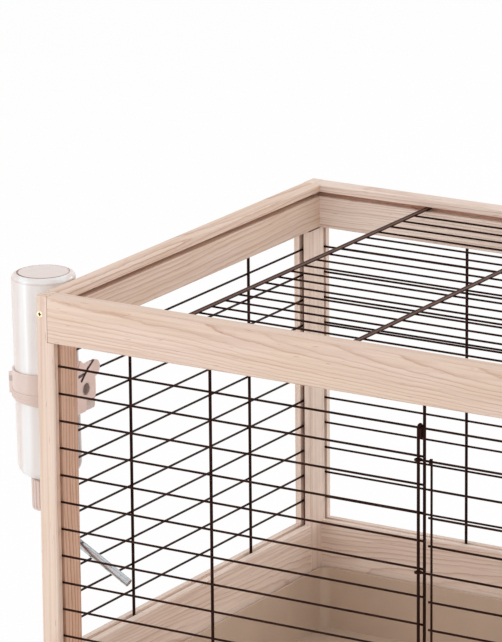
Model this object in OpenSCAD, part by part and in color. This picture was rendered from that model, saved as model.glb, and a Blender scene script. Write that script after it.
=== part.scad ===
// Wooden rabbit cage with welded wire grids, a roof that slides out to the right,
// a hinged wire door, a pull-out tray and a drinking bottle clipped outside the left grid.
// Millimetres, +Z up, front towards -Y, origin on the floor under the middle of the cage.
// Modules are drawn from the cage's front left corner, and placed() moves them to the origin.

/* [Cage] */
// Width over the posts
cage_w = 1058; // [900:1:1200]
// Depth over the posts
cage_d = 510; // [440:1:600]
// Height of the posts
cage_h = 500; // [460:1:620]

/* [Timber] */
// Thickness of every rail and board, and width of the posts
wood_t = 19; // [16:0.5:24]
// Depth of the posts
post_d = 40; // [34:1:50]
// Height of the top rails
top_rail_h = 45; // [38:1:60]
// Height of the lower front rail
low_rail_h = 45; // [30:1:60]
// Height of the lower boards at the sides and the rear
low_board_h = 120; // [95:1:160]
// Width of the strip that the post keeps beside the top rail's end
strip_w = 12; // [10:0.5:14]
// Height of the base rails
base_h = 20; // [16:1:30]
// Width of the cross rail under the middle of the floor
cross_rail_w = 40; // [30:1:60]
// Thickness of the floor panel
floor_t = 3; // [2.5:0.5:6]
// Bevel along the timber's long edges
ease = 1; // [0.5:0.1:2]
// Open joint between the long top rails' ends and the posts' strips
joint_gap = 0.5; // [0:0.1:0.8]

/* [Grooves] */
// Width of the grooves that hold the wire grids
grid_groove_w = 5; // [4.8:0.1:6]
// Depth of the grooves that hold the wire grids
grid_groove_deep = 6; // [5:0.5:8]
// Width of the grooves that the roof panel runs in
roof_groove_w = 5; // [4.8:0.1:6]
// Depth of the grooves that the roof panel runs in
roof_groove_deep = 10; // [8:0.5:12]
// Distance from the top of the rail to the roof groove
roof_groove_top = 7.5; // [5:0.5:10]

/* [Wire grids] */
// Diameter of the level wires
wire_d = 2.2; // [1.8:0.1:2.4]
// Diameter of the upright bars
bar_d = 3; // [2.6:0.1:3.2]
// How far crossing wires are pressed into each other by the weld
weld = 0.6; // [0.4:0.1:0.9]
// Spacing of the level wires
wire_pitch = 26.9; // [24:0.1:34]
// First level wire of the front grid below the top of the cage
front_first_wire = 69; // [60:1:75]
// First level wire of the side grids below the top of the cage
side_first_wire = 66; // [60:1:75]
// First level wire of the rear grid below the top of the cage
rear_first_wire = 68; // [60:1:75]
// Outer upright bar of the front and rear grids from the side of the cage
outer_bar = 186; // [120:1:220]
// Inner upright bar of the front and rear grids from the side of the cage
inner_bar = 414.5; // [380:0.5:430]
// Upright bars of the side grids from the front and from the back
side_bar = 145; // [110:1:180]
// Gap round a grid or a roof rod in its groove
seat_gap = 0.3; // [0.1:0.1:0.5]
// Least distance from the lowest level wire to the lower timber
last_wire_gap = 12; // [6:1:20]

/* [Front door] */
// Level wires of the door
door_wires = 8; // [4:1:8]
// Diameter of the hinge rod
rod_d = 3; // [2.6:0.1:3.2]
// Hinge rod from the inner bar, towards the left
rod_left = 3.6; // [3:0.1:5]
// Drop of the door's wires below the wires of the grid
door_drop = 2.7; // [2.6:0.1:3.2]
// How far the door's level wires reach past the right inner bar
door_lap = 6; // [4:0.5:10]
// Running gap of the hinge loops, the latch and its rings
loop_gap = 0.3; // [0.2:0.05:0.4]
// Door's upright wire from the inner bar
stile_in = 9.1; // [8:0.1:16]
// Door wire that carries the latch, counted from the top
latch_wire = 3; // [1:1:5]
// Diameter of the latch bolt
bolt_d = 3; // [2.6:0.1:3.2]
// Travel of the latch bolt
bolt_travel = 10; // [6:0.5:12]
// Wire of the rings and of the keeper that hold the bolt
ring_wire_d = 1.8; // [1.4:0.1:2]
// Distance between the two rings of the bolt
ring_spacing = 28; // [20:1:40]
// Play of the bolt in its keeper
keeper_play = 1.6; // [1.3:0.1:2]
// Drop of the bolt's handle
knob_drop = 14; // [10:1:20]

/* [Roof panel] */
// Diameter of the cross rods
roof_rod_d = 4; // [3.4:0.1:4.2]
// Spacing of the cross rods
roof_rod_pitch = 178.5; // [150:0.5:240]
// Diameter of the thin roof wires
roof_wire_d = 2; // [1.6:0.1:2.2]
// Spacing of the thin roof wires
roof_wire_pitch = 24; // [20:1:40]
// Least distance from a long rail to the first thin roof wire
roof_wire_edge = 20; // [10:1:30]
// Gap between the right top rail and the thin roof wires above it
right_rail_gap = 1.8; // [1:0.1:4]
// How far the roof stands open
roof_open = 121.5; // [0:0.5:400]

/* [Tray] */
// Height of the tray
tray_h = 68; // [40:1:70]
// Wall of the tray
tray_wall = 2.5; // [2:0.1:4]
// Corner radius of the tray
tray_r = 12; // [6:1:20]
// Gap between the tray and what is beside it
tray_side_gap = 2; // [1:0.5:4]
// Width of the tray's grip
grip_w = 150; // [100:5:240]
// How far the grip stands out
grip_out = 12; // [8:1:20]
// Height of the lip under the grip
grip_lip = 8; // [5:1:12]

/* [Bottle] */
// Radius of the bottle
bottle_r = 31; // [28:0.5:31.5]
// Bottle's axis outside the left side of the cage
bottle_out = 31.5; // [31.5:0.5:38]
// Bottle's axis behind the front of the cage
bottle_back = 63; // [60:1:90]
// Bottle's base above the top of the cage
bottle_above = 3.5; // [0:0.5:10]
// Length of the bottle without its shoulder
bottle_len = 188; // [170:1:200]
// Wall of the bottle
bottle_wall = 1.5; // [1:0.1:2.5]
// Lean of the bottle towards the cage, in degrees
bottle_lean = 1; // [0:0.1:3]
// Radius of the bottle's neck
neck_r = 14; // [12:0.5:16]
// Length of the bottle's neck
neck_len = 27; // [20:1:34]
// Radius of the cap
cap_r = 18.5; // [17.5:0.5:22]
// Radius of the drinking tube
spout_r = 4; // [3.5:0.1:5]
// Bore of the drinking tube
spout_bore_r = 3.2; // [2.8:0.05:3.4]
// Radius of the ball in the drinking tube
ball_r = 3; // [2.6:0.05:3.1]
// Turn of the drinking tube, in degrees
spout_turn = 60; // [50:1:65]
// Straight length of the drinking tube past its bend
spout_run = 92; // [80:1:110]

/* [Bottle bracket] */
// Top of the belt below the top of the cage
belt_top = 91; // [85:1:96]
// Height of the belt
belt_h = 30; // [24:1:34]
// Thickness of the belt
belt_t = 1.8; // [1.4:0.1:3]
// Thickness of the plates on both sides of the grid
plate_t = 3; // [2.5:0.1:3.5]
// Radius of the stud that joins the plates
stud_r = 7.3; // [6:0.1:8]

/* [Hidden] */
$fn = 32;
// Overshoot of a cut past the face that it opens
cut = 1;

pine = "#E3C9B8";
pine_shade = "#D2B09B";
hardboard = "#C9AB94";
enamel = "#2E1C18";
rod_brown = "#5A4139";
bottle_white = "#EFE6E2";
plastic_beige = "#D9BFB4";
tray_beige = "#CDB9A8";
brass = "#C9A14A";
steel = "#B9BDC2";
rubber_grey = "#8C8782";

// Heights
top_z = cage_h - top_rail_h;
low_board_top = base_h + low_board_h;
low_rail_z = low_board_top - low_rail_h;
grid_foot_z = low_board_top - grid_groove_deep;
grid_head_z = top_z + grid_groove_deep - seat_gap;

// Grid plane: bars and wires share the groove, wires outside
groove_near = (wood_t - grid_groove_w) / 2;
grid_total = bar_d + wire_d - weld;
wire_in = groove_near + (grid_groove_w - grid_total) / 2 + wire_d / 2;
bar_in = wire_in + wire_d / 2 + bar_d / 2 - weld;
wire_end = wood_t - grid_groove_deep + seat_gap;

// Roof groove, and the panel that runs in it
roof_stop_gap = 0.5;
roof_groove_z = cage_h - roof_groove_top - roof_groove_w;
roof_groove_in = wood_t - roof_groove_deep;
roof_rod_z = roof_groove_z + seat_gap + roof_rod_d / 2;
roof_wire_z = roof_rod_z - (roof_rod_d + roof_wire_d) / 2 + weld;
roof_shut_x = wood_t + roof_stop_gap + roof_rod_d / 2;
roof_long = cage_w - wood_t / 2 - roof_shut_x;
roof_x = roof_shut_x + roof_open;
roof_wire_first = wood_t + roof_wire_edge;
right_rail_top = roof_wire_z - roof_wire_d / 2 - right_rail_gap;

// Hinge rod and door
rod_x = inner_bar - rod_left;
rod_in = wire_in - wire_d / 2 - loop_gap - rod_d / 2;
hook_r = wire_in - rod_in;
door_top_z = wire_z(front_first_wire, 1) - door_drop;
door_right_x = cage_w - inner_bar + door_lap;
door_stile_in = rod_in + wire_d - weld / 2;
stile_left_x = inner_bar + stile_in;
stile_right_x = cage_w - inner_bar - stile_in;
loop_r = (rod_d + wire_d) / 2 + loop_gap;

// Latch
bolt_in = rod_in - wire_d / 2 - loop_gap - bolt_d / 2;
bolt_z = door_top_z - latch_wire * wire_pitch;
ring_r = (bolt_d + ring_wire_d) / 2 + loop_gap;
keeper_x = cage_w - inner_bar;
bolt_tip_gap = 1.6;
bolt_tip_x = keeper_x - ring_wire_d / 2 - bolt_tip_gap;
keeper_half = (bolt_d + ring_wire_d) / 2 + keeper_play;
ring_right_x = stile_right_x - 7;
ring_left_x = ring_right_x - ring_spacing;
bolt_tail = 8;
knob_x = (ring_left_x + ring_right_x) / 2 - bolt_travel / 2;
// How far a wire's end stands past the last weld
wire_end_out = 2;
rod_leg = 10;

// Tray
tray_lift = 0.3;
tray_z = base_h + floor_t + tray_lift;
tray_front = 1.5;
tray_w = cage_w - 2 * (wood_t + tray_side_gap);
tray_d = cage_d - wood_t - tray_side_gap - tray_front;
rim_t = 3;
grip_drop = 14;

// Bottle, measured down from its base
bottle_dome = 5.5;
bottle_shoulder = 14;
// How far the drawn neck reaches into the shoulder
neck_lap = 6;
neck_z = -bottle_len - bottle_shoulder;
neck_end_z = neck_z - neck_len;
seal_t = 2.5;
cap_floor_t = 3;
cap_below_shoulder = 3;
cap_rim_z = neck_z - cap_below_shoulder;
cap_end_z = neck_end_z - seal_t - cap_floor_t;
cap_gap = 0.25;
spout_bend_r = 14;
// The drawn tube is a little wider round its bend, and its straight lengths start inside it
bend_swell = 0.15;
bend_lap = 1;
spout_in_neck = 4;
spout_below_cap = 7;
spout_top_z = neck_end_z + spout_in_neck;
spout_bend_z = cap_end_z - spout_below_cap;
// The tube's end is drawn in round the ball
lip_in = 0.35;
lip_r = ball_r - lip_in;
lip_t = 1.2;
ball_play = 0.15;
ball_seat = sqrt(ball_r * ball_r - lip_r * lip_r) + ball_play;

// Bracket
belt_mid = cage_h - belt_top - belt_h / 2;
belt_gap = 0.3;
belt_drop = 4;
// Height of the belt's ribbed lip
lip_h = 14;
plate_out_x = wire_in - wire_d / 2 - 0.3 - plate_t;
plate_in_x = wire_in + wire_d / 2 + 0.3;
stud_back = bottle_back + 1.2;
stud_z = belt_mid - 1;
stud_wall = 1.4;
// Both plates start at plate_front, and the outer one reaches further back and down
plate_front = -17.4;
plate_r = 3;
outer_back = 23.3;
outer_low = -24.5;
outer_top = 14;
// The inner plate's level edge lies over a wire, and its foot reaches lower
clip_back = 16.3;
clip_low = -11.5;
clip_top = 9;
foot_back = 0;
foot_low = -22;
// Round lobe at the inner plate's upper corner, and the peak of the arm beside it
lobe_back = 16;
lobe_up = 17.2;
lobe_r = 8.2;
arm_up = 25.4;
peak_back = -8.4;
peak_up = 30;
// The arm's slit, its upper end, and the short slit that frees the arm's root
slit_w = 1.8;
slit_from = [-8.6, 9.2];
slit_len = 17;
tip_slit_from = [3, 19.6];
tip_slit_len = 16;
root_slit_from = [-13.2, 14.9];
root_slit_len = 13;
ear_out = 8.4;
ear_low = -15;
ear_h = 21;
ear_t = 3;
ear_slit = 2.4;
web_w = 20;
web_front = 9;
web_h = 22;

// Screws
screw_r = 1.6;
screw_head_r = 3.1;
screw_head_t = 2.6;
screw_gap = 0.05;
recess_r = 1.9;
recess_w = 0.9;
recess_mid_r = 1.3;
recess_deep = 1.6;
// How far a screw bites into the second timber
screw_bite = 26;
// The two screws of a top corner pass each other at these shares of the rail's height
top_screw_z = cage_h - 0.4 * top_rail_h;
end_screw_z = cage_h - 0.7 * top_rail_h;
top_screw_in = strip_w / 3;
low_screw_z = low_rail_z + low_rail_h / 2;
board_screw_z = base_h + low_board_h / 2;

// Height of a level wire, counted down from the first
function wire_z(first, k) = cage_h - first - k * wire_pitch;
// Level wires that fit above the lower timber
function wire_count(first) = floor((cage_h - first - low_board_top - last_wire_gap) / wire_pitch) + 1;

module placed() {
    translate([-cage_w / 2, -cage_d / 2, 0]) children();
}

module to_right() {
    translate([cage_w, 0, 0]) mirror([1, 0, 0]) children();
}

module to_rear() {
    translate([0, cage_d, 0]) mirror([0, 1, 0]) children();
}

// Profile with bevelled corners
module eased(w, h) {
    polygon([
        [ease, 0], [w - ease, 0], [w, ease], [w, h - ease],
        [w - ease, h], [ease, h], [0, h - ease], [0, ease]
    ]);
}

// A profile drawn in Y and Z, run along X
module along_x(len) {
    rotate([90, 0, 90]) linear_extrude(len) children();
}

// A profile drawn in X and Z, run along Y
module along_y(len) {
    translate([0, len, 0]) rotate([90, 0, 0]) linear_extrude(len) children();
}

module rounded(w, d, r) {
    translate([r, 0]) square([w - 2 * r, d]);
    translate([0, r]) square([w, d - 2 * r]);
    for (x = [r, w - r], y = [r, d - r]) translate([x, y]) circle(r);
}

// Wires

module wire_x(x0, x1, y, z, d) {
    translate([x0, y, z]) rotate([0, 90, 0]) cylinder(d = d, h = x1 - x0);
}

module wire_y(x, y0, y1, z, d) {
    translate([x, y0, z]) rotate([-90, 0, 0]) cylinder(d = d, h = y1 - y0);
}

module wire_up(x, y, z0, z1, d) {
    translate([x, y, z0]) cylinder(d = d, h = z1 - z0);
}

module wire_ring(r, d) {
    rotate_extrude() translate([r, 0]) circle(d = d, $fn = 16);
}

// Screws: head flush with the face, pointing along +Z

module screw_hole(len) {
    translate([0, 0, -cut]) cylinder(r = screw_head_r + screw_gap, h = cut);
    cylinder(r1 = screw_head_r + screw_gap, r2 = screw_r + screw_gap, h = screw_head_t);
    cylinder(r = screw_r + screw_gap, h = len);
}

module screw(len) {
    difference() {
        union() {
            cylinder(r1 = screw_head_r, r2 = screw_r, h = screw_head_t);
            cylinder(r = screw_r, h = len - 1);
        }
        // Cross recess with a tapered middle
        for (a = [0, 90]) rotate(a) translate([-recess_r, -recess_w / 2, -cut])
            cube([2 * recess_r, recess_w, recess_deep + cut]);
        translate([0, 0, -cut]) cylinder(r = recess_mid_r, h = cut);
        cylinder(r1 = recess_mid_r, r2 = recess_w / 2, h = recess_deep + 0.5);
    }
}

// Screws at one corner, or their holes: strip into side rail, strip into long rail,
// post into the lower long timber, and post into the side board
module corner_screws(drawn) {
    translate([top_screw_in, 0, top_screw_z]) rotate([-90, 0, 0])
        corner_screw(drawn, wood_t + screw_bite);
    translate([0, wood_t / 4, end_screw_z]) rotate([0, 90, 0])
        corner_screw(drawn, strip_w + screw_bite);
    translate([0, wood_t / 2, low_screw_z]) rotate([0, 90, 0])
        corner_screw(drawn, wood_t + screw_bite);
    translate([wood_t / 2, 0, board_screw_z]) rotate([-90, 0, 0])
        corner_screw(drawn, post_d + screw_bite);
}

module corner_screw(drawn, len) {
    if (drawn) screw(len);
    else screw_hole(len);
}

module all_screw_holes() {
    corner_screws(false);
    to_right() corner_screws(false);
    to_rear() corner_screws(false);
    to_rear() to_right() corner_screws(false);
}

module frame_screws() {
    color(brass) {
        corner_screws(true);
        to_right() corner_screws(true);
        to_rear() corner_screws(true);
        to_rear() to_right() corner_screws(true);
    }
}

// Timber

module post() {
    difference() {
        linear_extrude(cage_h) eased(wood_t, post_d);
        // Shoulders for the front rail and for the side rail
        translate([strip_w, -cut, top_z]) cube([wood_t, wood_t + cut, top_rail_h + cut]);
        translate([-cut, wood_t, top_z]) cube([wood_t + 2 * cut, post_d, top_rail_h + cut]);
        // Grooves for the front grid and for the side grid
        translate([wood_t - grid_groove_deep, groove_near, grid_foot_z])
            cube([grid_groove_deep + cut, grid_groove_w, top_z - grid_foot_z + cut]);
        translate([groove_near, post_d - grid_groove_deep, grid_foot_z])
            cube([grid_groove_w, grid_groove_deep + cut, top_z - grid_foot_z + cut]);
        corner_screws(false);
    }
}

// The roof panel's rods leave through the strips of the two right posts
module post_open_for_roof() {
    difference() {
        post();
        translate([-cut, roof_groove_in, roof_groove_z])
            cube([wood_t + 2 * cut, roof_groove_deep + cut, roof_groove_w]);
    }
}

// Cross-section of a long top rail: outer face at 0, inner face at wood_t
module top_rail_profile() {
    difference() {
        eased(wood_t, top_rail_h);
        translate([roof_groove_in, roof_groove_z - top_z])
            square([roof_groove_deep + cut, roof_groove_w]);
        translate([groove_near, -cut]) square([grid_groove_w, grid_groove_deep + cut]);
    }
}

module top_rail_long() {
    difference() {
        translate([strip_w + joint_gap, 0, top_z]) along_x(cage_w - 2 * (strip_w + joint_gap))
            top_rail_profile();
        all_screw_holes();
    }
}

module top_rail_left() {
    color(pine) placed() difference() {
        translate([0, wood_t, top_z]) along_y(cage_d - 2 * wood_t) top_rail_profile();
        all_screw_holes();
    }
}

// The right rail stays below the roof panel, so that the panel can slide out over it
module top_rail_right() {
    color(pine) placed() difference() {
        to_right() translate([0, wood_t, top_z]) along_y(cage_d - 2 * wood_t) difference() {
            eased(wood_t, right_rail_top - top_z);
            translate([groove_near, -cut]) square([grid_groove_w, grid_groove_deep + cut]);
        }
        all_screw_holes();
    }
}

module low_rail_front() {
    color(pine) placed() difference() {
        translate([wood_t, 0, low_rail_z]) along_x(cage_w - 2 * wood_t) difference() {
            eased(wood_t, low_rail_h);
            translate([groove_near, low_rail_h - grid_groove_deep])
                square([grid_groove_w, grid_groove_deep + cut]);
        }
        all_screw_holes();
    }
}

// Board that closes the tray's space and carries a grid in its upper edge
module low_board_profile() {
    board_h = low_board_top - base_h;
    difference() {
        eased(wood_t, board_h);
        translate([groove_near, board_h - grid_groove_deep])
            square([grid_groove_w, grid_groove_deep + cut]);
    }
}

module low_board_rear() {
    color(pine) placed() difference() {
        to_rear() translate([wood_t, 0, base_h]) along_x(cage_w - 2 * wood_t) low_board_profile();
        all_screw_holes();
    }
}

module low_board_side() {
    difference() {
        translate([0, post_d, base_h]) along_y(cage_d - 2 * post_d) low_board_profile();
        all_screw_holes();
    }
}

module base_rail_long() {
    translate([wood_t, 0, 0]) along_x(cage_w - 2 * wood_t) eased(post_d, base_h);
}

module base_rail_side() {
    translate([0, post_d, 0]) along_y(cage_d - 2 * post_d) eased(post_d, base_h);
}

module base_cross_rail() {
    color(pine_shade) placed() translate([(cage_w - cross_rail_w) / 2, post_d, 0])
        along_y(cage_d - 2 * post_d) eased(cross_rail_w, base_h);
}

module floor_panel() {
    color(hardboard) placed() translate([wood_t, 0, base_h])
        cube([cage_w - 2 * wood_t, cage_d - wood_t, floor_t]);
}

// Wire grids

module long_bars(y) {
    for (x = [outer_bar, inner_bar, cage_w - inner_bar, cage_w - outer_bar])
        wire_up(x, y, grid_foot_z, grid_head_z, bar_d);
}

module front_grid() {
    color(enamel) placed() union() {
        long_bars(bar_in);
        for (k = [0 : wire_count(front_first_wire) - 1]) {
            z = wire_z(front_first_wire, k);
            if (k == 0 || k > door_wires) {
                wire_x(wire_end, cage_w - wire_end, wire_in, z, wire_d);
            } else {
                // The middle bay stays open for the door
                wire_x(wire_end, inner_bar + bar_d / 2, wire_in, z, wire_d);
                wire_x(cage_w - inner_bar - bar_d / 2, cage_w - wire_end, wire_in, z, wire_d);
            }
        }
        latch_keeper();
    }
}

// Staple welded to the front of the right inner bar, which the bolt slides through
module latch_keeper() {
    for (side = [-1, 1]) {
        wire_y(keeper_x, bolt_in, bar_in, bolt_z + side * keeper_half, ring_wire_d);
    }
    translate([keeper_x, bolt_in, bolt_z]) rotate([0, 90, 0]) rotate([0, 0, 180])
        rotate_extrude(angle = 180) translate([keeper_half, 0]) circle(d = ring_wire_d, $fn = 16);
}

module rear_grid() {
    color(enamel) placed() to_rear() union() {
        long_bars(bar_in);
        for (k = [0 : wire_count(rear_first_wire) - 1])
            wire_x(wire_end, cage_w - wire_end, wire_in, wire_z(rear_first_wire, k), wire_d);
    }
}

module side_grid() {
    reach = post_d - grid_groove_deep + seat_gap;
    union() {
        for (y = [side_bar, cage_d - side_bar]) wire_up(bar_in, y, grid_foot_z, grid_head_z, bar_d);
        for (k = [0 : wire_count(side_first_wire) - 1])
            wire_y(wire_in, reach, cage_d - reach, wire_z(side_first_wire, k), wire_d);
    }
}

// Hinge and door

// End of the hinge rod: a half turn over a level wire, and a short leg behind it
module rod_hook() {
    translate([0, hook_r, 0]) rotate([0, -90, 0]) rotate([0, 0, -90])
        rotate_extrude(angle = 180) translate([hook_r, 0]) circle(d = rod_d);
    translate([0, 2 * hook_r, -rod_leg]) cylinder(d = rod_d, h = rod_leg);
}

module hinge_rod() {
    upper = wire_z(front_first_wire, 0);
    lower = wire_z(front_first_wire, door_wires + 1);
    color(enamel) placed() union() {
        wire_up(rod_x, rod_in, lower, upper, rod_d);
        translate([rod_x, rod_in, upper]) rod_hook();
        translate([rod_x, rod_in, lower]) mirror([0, 0, 1]) rod_hook();
    }
}

module front_door() {
    last = door_wires - 1;
    color(enamel) placed() union() {
        for (k = [0 : last]) {
            z = door_top_z - k * wire_pitch;
            looped = k == 0 || k == last || k == floor(last / 2) + 1;
            left = looped ? rod_x + loop_r : stile_left_x - wire_end_out;
            right = k == latch_wire ? keeper_x - ring_wire_d / 2 - wire_end_out : door_right_x;
            wire_x(left, right, rod_in, z, wire_d);
            if (looped) translate([rod_x, rod_in, z]) wire_ring(loop_r, wire_d);
        }
        for (x = [stile_left_x, stile_right_x])
            wire_up(x, door_stile_in, door_top_z - last * wire_pitch - wire_end_out,
                door_top_z + wire_end_out, wire_d);
        // Upright wire's ends curled round the outer level wires
        for (x = [stile_left_x, stile_right_x], k = [0, last])
            translate([x, rod_in, door_top_z - k * wire_pitch]) rotate([0, 90, 0])
                wire_ring(wire_d * 0.85, wire_d * 0.8);
        // Rings for the latch bolt
        for (x = [ring_left_x, ring_right_x])
            translate([x, bolt_in, bolt_z]) rotate([0, 90, 0]) wire_ring(ring_r, ring_wire_d);
    }
}

module latch_bolt() {
    color(rod_brown) placed() union() {
        wire_x(ring_left_x - bolt_travel - bolt_tail, bolt_tip_x, bolt_in, bolt_z, bolt_d);
        wire_up(knob_x, bolt_in, bolt_z - knob_drop, bolt_z, bolt_d);
        translate([knob_x, bolt_in, bolt_z - knob_drop]) sphere(d = bolt_d);
    }
}

// Roof

module roof_panel() {
    inner_rods = floor((roof_long - 60) / roof_rod_pitch);
    wires = floor((cage_d - 2 * roof_wire_first) / roof_wire_pitch + 0.01);
    first_y = (cage_d - wires * roof_wire_pitch) / 2;
    rod_in_groove = roof_groove_in + seat_gap;
    color(rod_brown) placed() union() {
        for (x = [for (k = [0 : inner_rods]) k * roof_rod_pitch, roof_long])
            wire_y(roof_x + x, rod_in_groove, cage_d - rod_in_groove, roof_rod_z, roof_rod_d);
        for (k = [0 : wires])
            wire_x(roof_x - roof_rod_d / 2, roof_x + roof_long + roof_rod_d / 2,
                first_y + k * roof_wire_pitch, roof_wire_z, roof_wire_d);
    }
}

// Tray

module tray() {
    color(tray_beige) placed() translate([wood_t + tray_side_gap, tray_front, tray_z]) {
        difference() {
            linear_extrude(tray_h) rounded(tray_w, tray_d, tray_r);
            translate([tray_wall, tray_wall, tray_wall]) linear_extrude(tray_h)
                rounded(tray_w - 2 * tray_wall, tray_d - 2 * tray_wall, tray_r - tray_wall);
        }
        // Grip: a ledge with a lip to hook the fingers behind
        translate([(tray_w - grip_w) / 2, -grip_out, tray_h - grip_drop]) {
            cube([grip_w, grip_out + cut, rim_t]);
            translate([0, 0, -grip_lip]) cube([grip_w, rim_t, grip_lip]);
        }
    }
}

// Bottle

// Moves a shape drawn down from the bottle's base to its leaning place
module on_bottle() {
    above_belt = cage_h + bottle_above - belt_mid;
    translate([-bottle_out, bottle_back, belt_mid]) rotate([0, -bottle_lean, 0])
        translate([0, 0, above_belt]) children();
}

// Half outline of the bottle, grown by a margin
module bottle_outline(grow) {
    r = bottle_r + grow;
    translate([0, -bottle_len]) square([r, bottle_len - bottle_dome]);
    translate([0, -bottle_dome]) square([bottle_r - bottle_dome, bottle_dome + grow]);
    intersection() {
        translate([bottle_r - bottle_dome, -bottle_dome]) circle(bottle_dome + grow);
        square([2 * r, 4 * r], center = true);
    }
    // Shoulder down to the neck
    translate([0, -bottle_len - bottle_shoulder - grow])
        square([bottle_r - bottle_shoulder, bottle_shoulder + grow + cut]);
    intersection() {
        translate([bottle_r - bottle_shoulder, -bottle_len]) circle(bottle_shoulder + grow);
        translate([0, -bottle_len - 2 * bottle_shoulder]) square([r, 2 * bottle_shoulder]);
    }
}

module bottle_body() {
    color(bottle_white) placed() on_bottle() difference() {
        union() {
            rotate_extrude($fn = 64) bottle_outline(0);
            translate([0, 0, neck_end_z]) cylinder(r = neck_r, h = neck_len + neck_lap);
        }
        rotate_extrude($fn = 64) bottle_outline(-bottle_wall);
        translate([0, 0, neck_end_z - cut])
            cylinder(r = neck_r - bottle_wall, h = neck_len + neck_lap + 2 * cut);
        // Rim line of the base
        translate([0, 0, -0.8]) difference() {
            cylinder(r = bottle_r - bottle_dome + 0.2, h = 2, $fn = 64);
            translate([0, 0, -cut]) cylinder(r = bottle_r - bottle_dome - 1, h = 2 + 2 * cut, $fn = 64);
        }
    }
}

module bottle_cap() {
    flutes = 24;
    color(plastic_beige) placed() on_bottle() difference() {
        translate([0, 0, cap_end_z]) cylinder(r = cap_r, h = cap_rim_z - cap_end_z, $fn = 64);
        translate([0, 0, cap_end_z + cap_floor_t])
            cylinder(r = neck_r + cap_gap, h = cap_rim_z - cap_end_z, $fn = 64);
        translate([0, 0, cap_end_z - cut]) cylinder(r = spout_r + screw_gap, h = cap_floor_t + 2 * cut);
        for (k = [0 : flutes - 1]) rotate(k * 360 / flutes)
            translate([cap_r + 0.4, 0, cap_end_z + 2])
                cylinder(r = 1.3, h = cap_rim_z - cap_end_z, $fn = 16);
    }
}

module cap_seal() {
    color(rubber_grey) placed() on_bottle() translate([0, 0, cap_end_z + cap_floor_t]) difference() {
        cylinder(r = neck_r - 0.2, h = seal_t);
        translate([0, 0, -cut]) cylinder(r = spout_r + screw_gap, h = seal_t + 2 * cut);
    }
}

// Past the bend, with +Z along the straight end of the tube
module at_spout_bend_end() {
    translate([spout_bend_r, 0, spout_bend_z]) rotate([0, -spout_turn, 0])
        translate([-spout_bend_r, 0, 0]) rotate([180, 0, 0]) children();
}

// Drinking tube: down from the cap, round the bend and on into the cage
module spout_tube() {
    color(steel) placed() on_bottle() union() {
        translate([0, 0, spout_bend_z - bend_lap]) difference() {
            cylinder(r = spout_r, h = spout_top_z - spout_bend_z + bend_lap);
            translate([0, 0, -cut])
                cylinder(r = spout_bore_r, h = spout_top_z - spout_bend_z + bend_lap + 2 * cut);
        }
        translate([spout_bend_r, 0, spout_bend_z]) rotate([90, 0, 0])
            rotate([0, 0, 180]) rotate_extrude(angle = spout_turn)
                translate([spout_bend_r, 0]) difference() {
                    circle(spout_r + bend_swell);
                    circle(spout_bore_r + bend_swell);
                }
        // The bore stops at the lip that keeps the ball in
        at_spout_bend_end() translate([0, 0, -bend_lap]) difference() {
            cylinder(r = spout_r, h = spout_run + bend_lap);
            translate([0, 0, -cut]) cylinder(r = spout_bore_r, h = spout_run + bend_lap - lip_t + cut);
            cylinder(r = lip_r, h = spout_run + bend_lap + cut);
        }
    }
}

module spout_ball() {
    color(steel) placed() on_bottle() at_spout_bend_end()
        translate([0, 0, spout_run - lip_t - ball_seat]) sphere(ball_r);
}

// Bottle bracket

module belt_ring(r, h) {
    cylinder(r = r, h = h, $fn = 64);
}

// Plate drawn in Y and Z from the stud's centre
module plate(x, t) {
    translate([x, stud_back, stud_z]) along_x(t) children();
}

module bottle_bracket() {
    belt_in = bottle_r + belt_gap;
    belt_out = belt_in + belt_t;
    ear_end = belt_out + ear_out;
    color(plastic_beige) placed() difference() {
        union() {
            translate([-bottle_out, bottle_back, belt_mid]) rotate([0, -bottle_lean, 0]) {
                // The belt's lower edge falls from the ears towards the cage
                difference() {
                    translate([0, 0, -belt_h / 2 - belt_drop]) {
                        belt_ring(belt_out, belt_h + belt_drop);
                        belt_ring(belt_out + 0.8, lip_h);
                        for (k = [0 : 3])
                            translate([0, 0, 1.6 + k * 3]) belt_ring(belt_out + 1.2, 1.4);
                    }
                    translate([0, 0, -belt_h / 2]) rotate([0, atan(belt_drop / belt_out), 0])
                        translate([-ear_end, -ear_end, -belt_h])
                            cube([2 * ear_end, 2 * ear_end, belt_h]);
                }
                // Ears of the belt's closure
                for (y = [-ear_slit / 2 - ear_t, ear_slit / 2]) translate([-ear_end, y, ear_low])
                    cube([ear_end - belt_in - 0.5, ear_t, ear_h]);
            }
            // Web from the belt to the plate outside the grid
            translate([-4, bottle_back - web_front, belt_mid - web_h / 2])
                cube([plate_out_x + 4.5, web_w, web_h]);
            plate(plate_out_x, plate_t)
                corner_plate([plate_front, outer_low], [outer_back, outer_top], plate_r);
            plate(plate_out_x, plate_in_x + plate_t - plate_out_x) circle(stud_r);
        }
        translate([-bottle_out, bottle_back, belt_mid]) rotate([0, -bottle_lean, 0])
            {
                translate([0, 0, -belt_h]) belt_ring(belt_in, 2 * belt_h);
                // Slit between the ears
                translate([-ear_end - cut, -ear_slit / 2, -belt_h])
                    cube([ear_end - belt_in + 2 * cut, ear_slit, 2 * belt_h]);
            }
        // Hollow end of the stud
        plate(plate_out_x + plate_t, plate_in_x + plate_t) circle(stud_r - stud_wall);
    }
}

// Rounded rectangle between two corners
module corner_plate(low, high, r) {
    translate(low) rounded(high[0] - low[0], high[1] - low[1], r);
}

// Straight cut of a given width from one point, at an angle
module slit(from, angle, len, w) {
    translate(from) rotate(angle) translate([0, -w / 2]) square([len, w]);
}

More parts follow.
